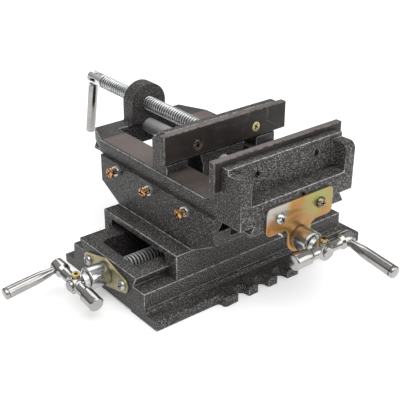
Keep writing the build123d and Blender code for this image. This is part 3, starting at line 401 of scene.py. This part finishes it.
def plated(name, colour, low, high, strength, dirt=0.25, rim_shade=0.0, shade_share=0.8, metal=1.0):
    """Bright plating with faint marks and smears, and painted shade in its crevices and thread roots.

    low and high limit its roughness, and strength is that of its bump. dirt is the share of brown spots, the
    rim share that of a painted dark reflection line on rounded ridges, shade_share that of painted shade in
    crevices, and metal that of metallic reflection.
    """
    brown = (0.10, 0.085, 0.07)
    shade_black = (0.022, 0.020, 0.018)
    smeared = tuple(channel * 0.84 for channel in colour)
    tree = Tree(name)
    haze = tree.noise(420.0, 4.0, 0.6)
    smear = tree.noise(70.0, 4.0, 0.65)
    spots = tree.ramp(tree.noise(330.0, 3.0, 0.6), (0.66, 0.0), (0.72, 1.0))
    shade = tree.mix(tree.ramp(smear, (0.38, 0.0), (0.62, 1.0)), smeared, colour)
    shade = tree.mix(tree.times(spots, dirt), shade, brown)
    # Painted shade: darker in crevices and thread roots, and on chrome a painted dark line on rounded ridges
    # for their dark reflection.
    painted_shade = tree.ramp(tree.crevice(2.0 * mm), (0.30, 0.0), (0.80, 1.0))
    groove = tree.ramp(tree.mark("groove"), (0.25, 0.0), (0.75, 0.97))
    painted_shade = tree.most(tree.times(painted_shade, shade_share), groove)
    painted_shade = tree.most(painted_shade, tree.times(tree.mark("ridge_wear_and_light"), rim_shade))
    shade = tree.mix(painted_shade, shade, shade_black)
    tree.set(Base_Color=shade, Roughness=tree.ramp(haze, (0.3, low), (0.7, high)), Metallic=metal)
    tree.bump((haze, strength, 0.05 * mm))
    return tree.material


def ground_steel(name):
    """Bright ground bar, with a painted highlight along its top and painted shade on its sides."""
    painted_highlight_top = (0.95, 0.945, 0.935)
    tree = Tree(name)
    lines = tree.noise(1.0, coords=tree.stretched((2600.0, 60.0, 2600.0)))
    # Painted light: darker sides as painted shade, and a pale top as a painted highlight from the light
    # above.
    sides = tree.ramp(lines, (0.35, (0.20, 0.20, 0.20)), (0.65, (0.34, 0.34, 0.335)))
    colour = tree.mix(tree.facing("Z", 2.5), sides, painted_highlight_top)
    tree.set(Base_Color=colour, Roughness=tree.ramp(lines, (0.3, 0.20), (0.7, 0.28)), Metallic=0.3)
    return tree.material


def pale_matt(name):
    """A nearly white floor that glows faintly, as a lit backdrop does."""
    tree = Tree(name)
    tree.set(Base_Color=tree.ramp(tree.noise(3.0), (0.3, 0.86), (0.7, 0.88)), Roughness=0.85)
    tree.set(Specular_IOR_Level=0.2, Emission_Color=(1.0, 1.0, 1.0, 1.0), Emission_Strength=0.34)
    return tree.material


tee_clouds = (
    (0.30, (0.22, 0.22, 0.060)),
    (0.40, (0.36, 0.23, 0.050)),
    (0.48, (0.40, 0.20, 0.040)),
    (0.54, (0.36, 0.19, 0.070)),
    (0.60, (0.38, 0.27, 0.070)),
    (0.70, (0.24, 0.25, 0.080)),
)
diamond_clouds = (
    (0.32, (0.30, 0.27, 0.15)),
    (0.46, (0.38, 0.34, 0.19)),
    (0.56, (0.33, 0.29, 0.17)),
    (0.68, (0.42, 0.38, 0.24)),
)
brass_clouds = (
    (0.35, (0.26, 0.19, 0.070)),
    (0.50, (0.40, 0.31, 0.14)),
    (0.65, (0.20, 0.15, 0.06)),
)
copper_clouds = (
    (0.38, (0.22, 0.10, 0.040)),
    (0.47, (0.46, 0.22, 0.085)),
    (0.54, (0.56, 0.33, 0.160)),
    (0.62, (0.30, 0.15, 0.060)),
)
gold_clouds = (
    (0.35, (0.32, 0.27, 0.12)),
    (0.50, (0.46, 0.40, 0.21)),
    (0.65, (0.25, 0.21, 0.10)),
)

# Stained patches on the front of the T-shaped plate: x, z and reach in mm, share, and colour

tee_patches = tuple(
    ((x * mm, tee_front, z * mm), reach * mm, share, colour)
    for x, z, reach, share, colour in (
        (-29.0, 90.0, 21.0, 0.85, (0.44, 0.44, 0.42)),
        (-27.0, 74.0, 13.0, 0.85, (0.40, 0.17, 0.030)),
        (26.0, 88.0, 15.0, 0.70, (0.29, 0.30, 0.12)),
        (4.0, 80.0, 14.0, 0.40, (0.36, 0.17, 0.09)),
        (13.0, 84.0, 15.0, 0.65, (0.30, 0.30, 0.10)),
    )
)

finishes = {
    "hammertone_paint": painted("hammertone_paint"),
    "vise_paint": painted("vise_paint", rail_tops),
    "ground_iron": ground_iron("ground_iron"),
    "jaw_plate_steel": jaw_plate("jaw_plate_steel"),
    "tee_zinc": clouded_zinc("tee_zinc", tee_clouds, tee_patches),
    "diamond_zinc": clouded_zinc("diamond_zinc", diamond_clouds),
    "yellow_zinc": clouded_zinc("yellow_zinc", gold_clouds, low=0.20, high=0.32, metal=0.9),
    "copper_zinc": clouded_zinc("copper_zinc", copper_clouds, low=0.16, high=0.28, metal=0.95),
    "brass": clouded_zinc("brass", brass_clouds, low=0.16, high=0.28, metal=0.95),
    "chrome": plated("chrome", (0.41, 0.40, 0.39), 0.12, 0.19, strength=0.010, dirt=0.12, rim_shade=0.9),
    "sleeve_chrome": plated(
        "sleeve_chrome", (0.55, 0.55, 0.55), 0.17, 0.25,
        strength=0.006, dirt=0.05, shade_share=0.6, metal=0.95,
    ),
    "guide_steel": ground_steel("guide_steel"),
    "nut_zinc": plated(
        "nut_zinc", (0.50, 0.505, 0.51), 0.20, 0.30, strength=0.02, shade_share=0.5, metal=0.85,
    ),
    "bright_zinc": plated("bright_zinc", (0.50, 0.51, 0.51), 0.22, 0.34, strength=0.04),
    "thread_zinc": plated("thread_zinc", (0.86, 0.87, 0.87), 0.26, 0.40, strength=0.03, shade_share=0.45),
    "shaded_thread": plated(
        "shaded_thread", (0.82, 0.83, 0.83), 0.24, 0.36, strength=0.03, shade_share=0.35, metal=0.5,
    ),
    "dull_zinc": plated("dull_zinc", (0.27, 0.22, 0.165), 0.20, 0.32, strength=0.03),
    "floor_paint": pale_matt("floor_paint"),
}
slot_of = {part["node"]: part["material_slot"] for part in frame["record"]["subparts"]}
finish_of = {
    **slot_of,
    "vise_body": "vise_paint",
    "upper_bearing_flange": "tee_zinc",
    "lower_bearing_flange": "diamond_zinc",
    "upper_bearing_housing": "sleeve_chrome",
    "lower_bearing_housing": "sleeve_chrome",
    "main_screw": "thread_zinc",
    "upper_leadscrew": "thread_zinc",
    "lower_leadscrew": "shaded_thread",
    "upper_gib_nuts": "nut_zinc",
    "lower_gib_nuts": "nut_zinc",
    "upper_gib_screws": "copper_zinc",
    "lower_gib_screws": "copper_zinc",
    "guide_bar": "guide_steel",
}
for name, node in frame["nodes"].items():
    for node_slot in node.material_slots:
        node_slot.material = finishes[finish_of[name]]


# Mesh helpers

def piece_from(shape, name, node_name, crease=32.0, second=None):
    """Turns a mesh in the frame's axes into a piece that stands for a node.

    Edges that turn by more than the crease, in degrees, stay sharp. Some faces may take a second finish.
    """
    for face in shape.faces:
        face.smooth = True
    for edge in shape.edges:
        edge.smooth = len(edge.link_faces) == 2 and edge.calc_face_angle() < radians(crease)
    mesh = bpy.data.meshes.new(name)
    shape.to_mesh(mesh)
    shape.free()
    piece = bpy.data.objects.new(name, mesh)
    bpy.context.scene.collection.objects.link(piece)
    piece.data.materials.append(finishes[finish_of[node_name]])
    if second:
        piece.data.materials.append(finishes[second])
    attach(piece, frame["nodes"][node_name]["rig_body"])
    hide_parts(node_name)


def node_shape(node_name):
    """An editable copy of a node's mesh, with flat faces in one piece."""
    flat = radians(0.5)
    shape = bmesh.new()
    shape.from_mesh(frame["nodes"][node_name].data)
    bmesh.ops.remove_doubles(shape, verts=shape.verts, dist=weld)
    bmesh.ops.dissolve_limit(shape, angle_limit=flat, verts=shape.verts, edges=shape.edges)
    return shape


def box_of(points):
    """(lowest corner, highest corner) of some points."""
    return [Vector([edge(point[i] for point in points) for i in range(3)]) for edge in (min, max)]


def upright(centre, axis):
    """The placement that takes the origin to a centre and Z to an axis."""
    turn = Vector((0.0, 0.0, 1.0)).rotation_difference(Vector(axis)).to_matrix().to_4x4()
    return Matrix.Translation(centre) @ turn


def turned(profile, centre, axis, sides=40):
    """A solid of revolution, from (radius, distance along the axis) points that start and end on the axis."""
    shape = bmesh.new()
    circle = [(cos(2 * pi * i / sides), sin(2 * pi * i / sides)) for i in range(sides)]
    rings = []
    for radius, along in profile:
        if radius == 0.0:
            rings.append([shape.verts.new((0.0, 0.0, along))])
        else:
            rings.append([shape.verts.new((radius * x, radius * y, along)) for x, y in circle])
    for low, high in zip(rings, rings[1:]):
        outline = ((low, 0), (low, 1), (high, 1), (high, 0))
        for i in range(sides):
            corners = [ring[(i + step) % len(ring)] for ring, step in outline]
            shape.faces.new(list(dict.fromkeys(corners)))
    bmesh.ops.recalc_face_normals(shape, faces=shape.faces)
    shape.transform(upright(centre, axis))
    return shape


def joined(shapes):
    """One mesh of several, which are freed."""
    whole = bmesh.new()
    for shape in shapes:
        mesh = bpy.data.meshes.new("joining")
        shape.to_mesh(mesh)
        shape.free()
        whole.from_mesh(mesh)
        bpy.data.meshes.remove(mesh)
    return whole


def cut(shape, cutters):
    """The shape less its cutters."""
    made = []
    for name, source in (("cut_body", shape), ("cut_tool", joined(cutters))):
        mesh = bpy.data.meshes.new(name)
        source.to_mesh(mesh)
        source.free()
        holder = bpy.data.objects.new(name, mesh)
        bpy.context.scene.collection.objects.link(holder)
        made.append(holder)
    body, tool = made
    modifier = body.modifiers.new("cut", "BOOLEAN")
    modifier.operation = "DIFFERENCE"
    modifier.solver = "EXACT"
    modifier.use_self = True
    modifier.object = tool
    bpy.context.view_layer.update()
    evaluated = body.evaluated_get(bpy.context.evaluated_depsgraph_get())
    result = bmesh.new()
    result.from_mesh(evaluated.to_mesh())
    evaluated.to_mesh_clear()
    for holder in made:
        mesh = holder.data
        bpy.data.objects.remove(holder)
        bpy.data.meshes.remove(mesh)
    return result


# Pieces that are the CAD's own, with their sharp edges rounded

def soften(source, width, shortest=0.0):
    """A copy with its long sharp edges rounded, and the ridges marked for wear and for painted edge light.

    The width shrinks until the rounded copy fills the same box as the source.
    """
    sharp_turn = radians(25)
    ridge_mark_start = radians(26)
    ridge_mark_span = radians(12)
    tolerance = 0.02 * mm
    shrink = 0.7
    room = box_of([vert.co for vert in source.verts])
    while True:
        shape = source.copy()
        sharp = [
            edge for edge in shape.edges
            if len(edge.link_faces) == 2
            and edge.calc_face_angle() > sharp_turn
            and edge.calc_length() > shortest
        ]
        rounded = bmesh.ops.bevel(
            shape, geom=sharp, offset=width, offset_type="OFFSET", segments=2, profile=0.5,
            affect="EDGES", clamp_overlap=False,
        )
        reach = box_of([vert.co for vert in shape.verts])
        if all((reach[i] - room[i]).length < tolerance for i in range(2)) or width < tolerance:
            break
        shape.free()
        width *= shrink
    source.free()
    new_faces = set(rounded["faces"])
    # The ridge mark: the finishes paint it as wear and as painted light on the edge.
    ridge_wear_and_light = shape.verts.layers.float.new("ridge_wear_and_light")
    for vert in shape.verts:
        if all(face in new_faces for face in vert.link_faces):
            pairs = [edge for edge in vert.link_edges if len(edge.link_faces) == 2]
            turn = max((edge.calc_face_angle_signed(0.0) for edge in pairs), default=0.0)
            vert[ridge_wear_and_light] = min(1.0, max(0.0, (turn - ridge_mark_start) / ridge_mark_span))
    bmesh.ops.dissolve_degenerate(shape, dist=coarse_weld, edges=shape.edges)
    return shape


def softened(node_name, width, shortest=0.0):
    """Replaces a node with its softened copy."""
    piece_from(soften(node_shape(node_name), width, shortest), node_name + "_softened", node_name)


# Nodes, the width of their rounding, and the length below which an edge stays sharp

casting_detail = 2.5 * mm
for node_names, width, shortest in (
    (("base_casting", "saddle_casting", "vise_body", "movable_jaw"), 0.70 * mm, casting_detail),
    (("fixed_jaw_plate", "movable_jaw_plate"), 0.40 * mm, casting_detail),
    (("upper_bearing_flange", "lower_bearing_flange"), 0.30 * mm, 0.0),
    (("upper_crank_bar", "lower_crank_bar"), 0.45 * mm, 0.0),
    (("upper_bearing_housing", "lower_bearing_housing"), 0.22 * mm, 0.0),
    (("upper_gib_nuts", "lower_gib_nuts", "screw_retainer", "handle_pin"), 0.22 * mm, 0.0),
):
    for node_name in node_names:
        softened(node_name, width, shortest)


# Screws with recesses in their heads

def islands(node_name):
    """(lowest corner, highest corner) of each separate solid in a node, in order of the lowest corners."""
    shape = node_shape(node_name)
    left, found = set(shape.verts), []
    while left:
        group, waiting = [], [left.pop()]
        while waiting:
            vert = waiting.pop()
            group.append(vert.co.copy())
            for edge in vert.link_edges:
                other = edge.other_vert(vert)
                if other in left:
                    left.discard(other)
                    waiting.append(other)
        found.append(box_of(group))
    shape.free()
    return sorted(found, key=lambda box: tuple(box[0]))


def placed_screws(node_name, axis, make, dull=None):
    """Builds one screw at each solid of a node; axis points out of the heads, and one screw may be dull."""
    axis = Vector(axis)
    shapes = []
    for low, high in islands(node_name):
        middle, half = (low + high) / 2, (high - low) / 2
        reach = abs(half.dot(axis))
        across = max(half[i] for i in range(3) if abs(axis[i]) < 0.5)
        shapes.append(make(middle + axis * reach, axis, across, 2 * reach, len(shapes)))
    if dull is not None:
        for face in shapes[dull].faces:
            face.material_index = 1
    second = None if dull is None else "dull_zinc"
    piece_from(joined(shapes), node_name + "_detailed", node_name, second=second)


def cross_cutters(top, axis, width, length, depth, turn):
    """Two crossed blades that reach down from the top of a head."""
    blades = []
    for angle in (turn, turn + pi / 2):
        blade = bmesh.new()
        bmesh.ops.create_cube(blade, size=1.0, matrix=Matrix.Diagonal((length, width, 2 * depth, 1.0)))
        blade.transform(upright(top, axis) @ Matrix.Rotation(angle, 4, "Z"))
        blades.append(blade)
    return blades


def pan_screw(top, axis, radius, length, number):
    """A domed head with a cross recess."""
    head = 3.0 * mm
    chamfer = 0.5 * mm
    slimming = 0.92
    shank = fastener_radius
    radius *= slimming
    body = turned(
        (
            (0.0, 0.0), (radius * 0.30, -0.05 * mm), (radius * 0.58, -0.30 * mm), (radius * 0.82, -0.90 * mm),
            (radius * 0.96, -1.75 * mm), (radius, -2.4 * mm), (radius, -head), (shank, -head),
            (shank, -length + chamfer), (shank - chamfer, -length), (0.0, -length),
        ),
        top, axis,
    )
    turn = 0.5 + 0.9 * number
    return cut(body, cross_cutters(top, axis, width=1.05 * mm, length=4.8 * mm, depth=2.0 * mm, turn=turn))


def flat_screw(top, axis, radius, length, number):
    """A flat countersunk head with a cross recess."""
    rim_shade = 0.2 * mm
    chamfer = 0.5 * mm
    shank = fastener_radius
    body = turned(
        (
            (0.0, 0.0), (radius - 0.25 * mm, 0.0), (radius, -rim_shade), (shank, -rim_shade - radius + shank),
            (shank, -length + chamfer), (shank - chamfer, -length), (0.0, -length),
        ),
        top, axis,
    )
    turn = 0.35 + 0.6 * number
    return cut(body, cross_cutters(top, axis, width=1.05 * mm, length=4.9 * mm, depth=1.9 * mm, turn=turn))


def gib_screw(top, axis, radius, length, number):
    """A domed head with a cross recess, on a shank whose thread shows between head and nut."""
    head = 2.3 * mm
    neck = 2.15 * mm
    root = 2.1 * mm
    tip = 1.9 * mm
    pitch = 0.8 * mm
    profile = [
        (0.0, 0.0), (radius * 0.55, -0.10 * mm), (radius * 0.85, -0.45 * mm), (radius, -1.1 * mm),
        (radius, -head), (neck, -head - 0.05 * mm),
    ]
    along = head + 0.3 * mm
    while along < length - 1.2 * mm:
        profile += [(fastener_radius, -along - 0.25 * mm), (root, -along - 0.65 * mm)]
        along += pitch
    profile += [(tip, -length), (0.0, -length)]
    body = turned(profile, top, axis, 32)
    turn = 0.9 + 0.7 * number
    return cut(body, cross_cutters(top, axis, width=1.25 * mm, length=6.0 * mm, depth=1.5 * mm, turn=turn))


placed_screws("upper_flange_screws", (0, -1, 0), pan_screw, dull=1)
placed_screws("lower_flange_screws", (-1, 0, 0), pan_screw)
placed_screws("movable_jaw_screws", (0, -1, 0), flat_screw, dull=0)
placed_screws("fixed_jaw_screws", (0, 1, 0), flat_screw)
placed_screws("upper_gib_screws", (-1, 0, 0), gib_screw)
placed_screws("lower_gib_screws", (0, 1, 0), gib_screw)


def socket_screw(node_name):
    """A set screw with a hexagonal socket, along its own tilted axis."""
    upward = 0.8
    growth = 1.2
    socket = 1.75 * mm
    above = 0.6 * mm
    shape = node_shape(node_name)
    top = max((face for face in shape.faces if face.normal.z > upward), key=lambda face: face.calc_area())
    centre, axis = top.calc_center_median(), top.normal.copy()
    shape = soften(shape, 0.25 * mm)
    place = upright(centre, axis)
    shape.transform(place @ Matrix.Diagonal((growth, growth, 1.0, 1.0)) @ place.inverted())
    hollow = ((0.0, above), (socket, above), (socket, -1.8 * mm), (0.0, -2.2 * mm))
    piece_from(cut(shape, [turned(hollow, centre, axis, 6)]), node_name + "_socket", node_name)


socket_screw("upper_crank_setscrew")
socket_screw("lower_crank_setscrew")


# Threaded screws

def thread(start, end):
    """A closed solid with a helical ridge, along Z from start to end.

    Its steps are (share of the pitch, radius), and the ridge fades out over the last turn at either end.
    """
    sides = 36
    spare_turns = 3
    steps = ((0.0, screw_core), (0.36, screw_core), (0.54, screw_radius), (0.82, screw_radius))
    shape = bmesh.new()
    turns = ceil((end - start) / screw_pitch) + spare_turns
    columns = []
    for side in range(sides):
        angle = 2 * pi * side / sides
        column = []
        for turn in range(turns):
            for share, radius in steps:
                along = start + (turn - spare_turns / 2 + share + side / sides) * screw_pitch
                ease = min(1.0, (along - start) / screw_pitch, (end - along) / screw_pitch)
                radius = screw_core + (radius - screw_core) * max(0.0, ease)
                along = min(end, max(start, along))
                column.append(shape.verts.new((radius * cos(angle), radius * sin(angle), along)))
        columns.append(column)
    for side in range(sides):
        near, far = columns[side], columns[(side + 1) % sides]
        shift = len(steps) if side == sides - 1 else 0
        for i in range(len(near) - 1 - shift):
            shape.faces.new((near[i], far[i + shift], far[i + 1 + shift], near[i + 1]))
    bmesh.ops.remove_doubles(shape, verts=shape.verts, dist=coarse_weld)
    bmesh.ops.dissolve_degenerate(shape, dist=fine_weld, edges=shape.edges)
    rims = [edge for edge in shape.edges if len(edge.link_faces) == 1]
    bmesh.ops.holes_fill(shape, edges=rims, sides=0)
    bmesh.ops.recalc_face_normals(shape, faces=shape.faces)
    # Depth below the crest, which the plated finishes turn into painted shade in the thread roots.
    groove = shape.verts.layers.float.new("groove")
    for vert in shape.verts:
        vert[groove] = (screw_radius - vert.co.xy.length) / (screw_radius - screw_core)
    return shape


def kept_end(node_name, point, towards):
    """The part of a node's mesh beyond a plane, closed at the plane and softened."""
    shape = node_shape(node_name)
    everything = shape.verts[:] + shape.edges[:] + shape.faces[:]
    cutting = bmesh.ops.bisect_plane(
        shape, geom=everything, plane_co=point, plane_no=towards, clear_inner=True, dist=fine_weld
    )
    rims = [item for item in cutting["geom_cut"] if isinstance(item, bmesh.types.BMEdge)]
    bmesh.ops.holes_fill(shape, edges=rims, sides=0)
    return soften(shape, 0.2 * mm)


def leadscrew(node_name, axis, height, threaded, tail=None):
    """A bar at a height, threaded between two places along its axis, with the node's own plain ends.

    The first end is kept up to the thread's start, and the other one, if there is a tail, from that place on.
    """
    axis, centre = Vector(axis), Vector((0.0, 0.0, height))
    bar = thread(*threaded)
    bar.transform(upright(centre, axis))
    shapes = [bar, kept_end(node_name, centre + axis * threaded[0], -axis)]
    if tail:
        shapes.append(kept_end(node_name, centre + axis * tail, axis))
    piece_from(joined(shapes), node_name + "_threaded", node_name, 50.0)


leadscrew("lower_leadscrew", (1, 0, 0), lower_screw_height, lower_thread)
leadscrew("upper_leadscrew", (0, 1, 0), upper_screw_height, upper_thread)
leadscrew("main_screw", (0, 1, 0), main_screw_height, main_thread, main_tail)

for node_name in ("handle_bar", "guide_bar"):
    softened(node_name, 0.3 * mm)


# Crank handles, turned with a groove near the rounded end; (radius, distance from the seat) in mm

handle_profile = tuple((radius * mm, along * mm) for radius, along in (
    (0.0, 2.3), (2.8, 2.3), (2.8, 6.0), (3.05, 8.0), (3.45, 11.0), (3.85, 14.0), (4.15, 16.5), (4.35, 19.0),
    (4.42, 23.0), (4.52, 30.0), (4.64, 38.0), (4.74, 44.0), (4.76, 44.3), (4.10, 44.5), (4.10, 45.2),
    (4.76, 45.4), (4.78, 46.2), (4.66, 46.9), (4.34, 47.4), (3.75, 47.7), (2.6, 47.85), (1.2, 47.95),
    (0.0, 48.0),
))
upper_aim = (0.0, -cos(crank_droop), -sin(crank_droop))
upper_seat = (crank_reach, upper_seat_along, upper_screw_height)
lower_aim = (
    -cos(crank_droop),
    sin(crank_droop) * sin(lower_crank_tilt),
    -sin(crank_droop) * cos(lower_crank_tilt),
)
lower_seat = (
    lower_seat_along,
    crank_reach * cos(lower_crank_tilt),
    lower_screw_height + crank_reach * sin(lower_crank_tilt),
)
for node_name, seat, aim in (
    ("upper_crank_handle", upper_seat, upper_aim),
    ("lower_crank_handle", lower_seat, lower_aim),
):
    piece_from(turned(handle_profile, seat, aim, 64), node_name + "_turned", node_name, 40.0)


# Floor and light

def stage_plane(name, size, height):
    """A square floor that isn't part of the vise."""
    half = size / 2
    mesh = bpy.data.meshes.new(name)
    corners = [(-half, -half, height), (half, -half, height), (half, half, height), (-half, half, height)]
    mesh.from_pydata(corners, [], [(0, 1, 2, 3)])
    plane = bpy.data.objects.new(name, mesh)
    bpy.context.scene.collection.objects.link(plane)
    return plane


floor = stage_plane("floor", size=60.0, height=-0.2 * mm)
floor.data.materials.append(finishes["floor_paint"])


def softbox(name, place, size, power):
    """A square area light that looks at the middle of the vise."""
    target = Vector((0.0, 0.0, 60.0 * mm))
    data = bpy.data.lights.new(name, "AREA")
    data.shape = "SQUARE"
    data.size = size
    data.energy = power
    lamp = bpy.data.objects.new(name, data)
    lamp.location = place
    lamp.rotation_euler = (target - Vector(place)).to_track_quat("-Z", "Y").to_euler()
    bpy.context.scene.collection.objects.link(lamp)


softbox("key_light", (-0.30, -0.45, 1.15), size=1.1, power=10.0)
softbox("fill_light", (0.55, -1.05, 0.60), size=0.9, power=6.0)
softbox("back_light", (0.45, 0.75, 1.15), size=0.8, power=4.0)

world = bpy.data.worlds.new("studio")
world.use_nodes = True
sky = world.node_tree
direction = sky.nodes.new("ShaderNodeTexCoord").outputs["Generated"]
height = sky.nodes.new("ShaderNodeSeparateXYZ")
shade = sky.nodes.new("ShaderNodeValToRGB")
sky.links.new(direction, height.inputs[0])
sky.links.new(height.outputs["Z"], shade.inputs["Fac"])
sky.links.new(shade.outputs["Color"], sky.nodes["Background"].inputs["Color"])
set_stops(shade.color_ramp, (
    (0.0, 0.9), (0.05, 0.9), (0.09, 0.12), (0.15, 0.13), (0.30, 0.40), (0.50, 0.75), (0.75, 0.9), (1.0, 0.7),
))
sky.nodes["Background"].inputs["Strength"].default_value = 0.62
bpy.context.scene.world = world
bpy.context.scene.view_settings.view_transform = "Standard"
